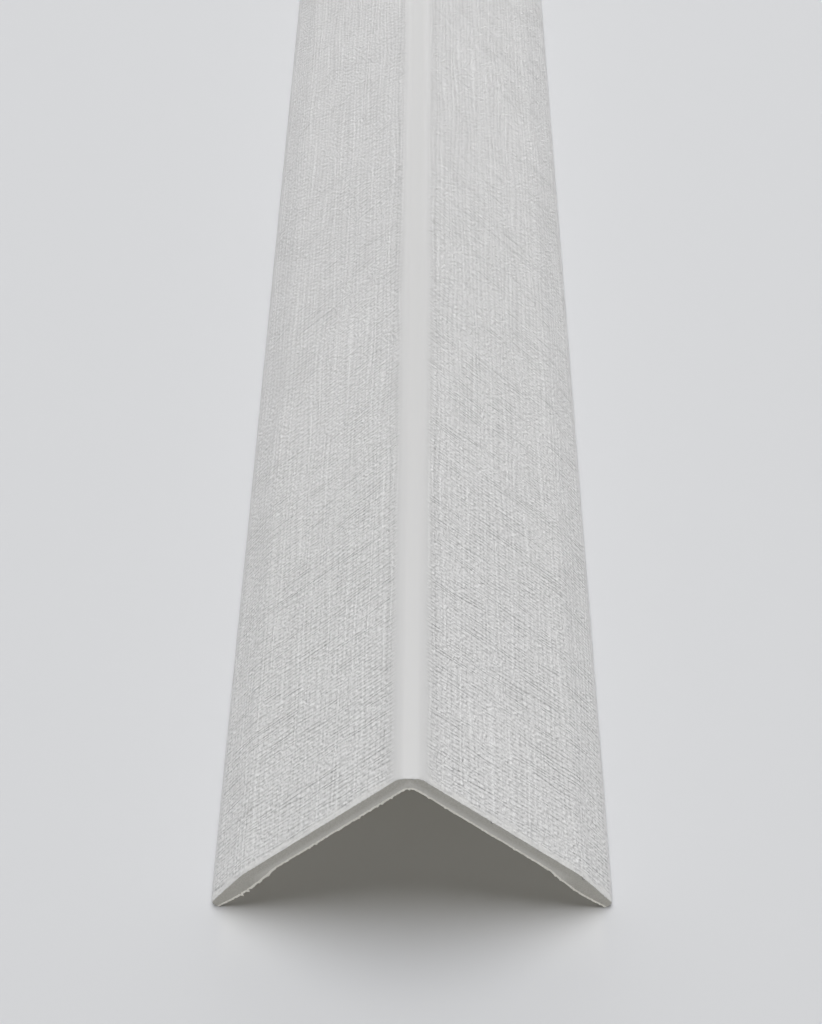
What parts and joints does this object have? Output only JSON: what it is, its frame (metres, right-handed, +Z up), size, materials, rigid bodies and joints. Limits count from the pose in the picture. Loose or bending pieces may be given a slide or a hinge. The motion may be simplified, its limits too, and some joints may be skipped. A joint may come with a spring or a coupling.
{
  "type": "wall corner angle trim",
  "caption": "Right-angled wall corner trim with a rounded nose, rounded swelled edges, square sawn ends and a fine linen emboss on its outer faces.",
  "frame": {"origin": "on the floor, halfway along the length and midway between the two edges that the angle lies on", "axes": "+Y along the length, +Z up through the nose, X across from edge to edge"},
  "size_m": [0.0408, 1, 0.0213],
  "materials": {
    "pvc": "satin off-white, finely embossed outside"
  },
  "bodies": {
    "root": {"corner_angle": "pvc"}
  },
  "joints": []
}
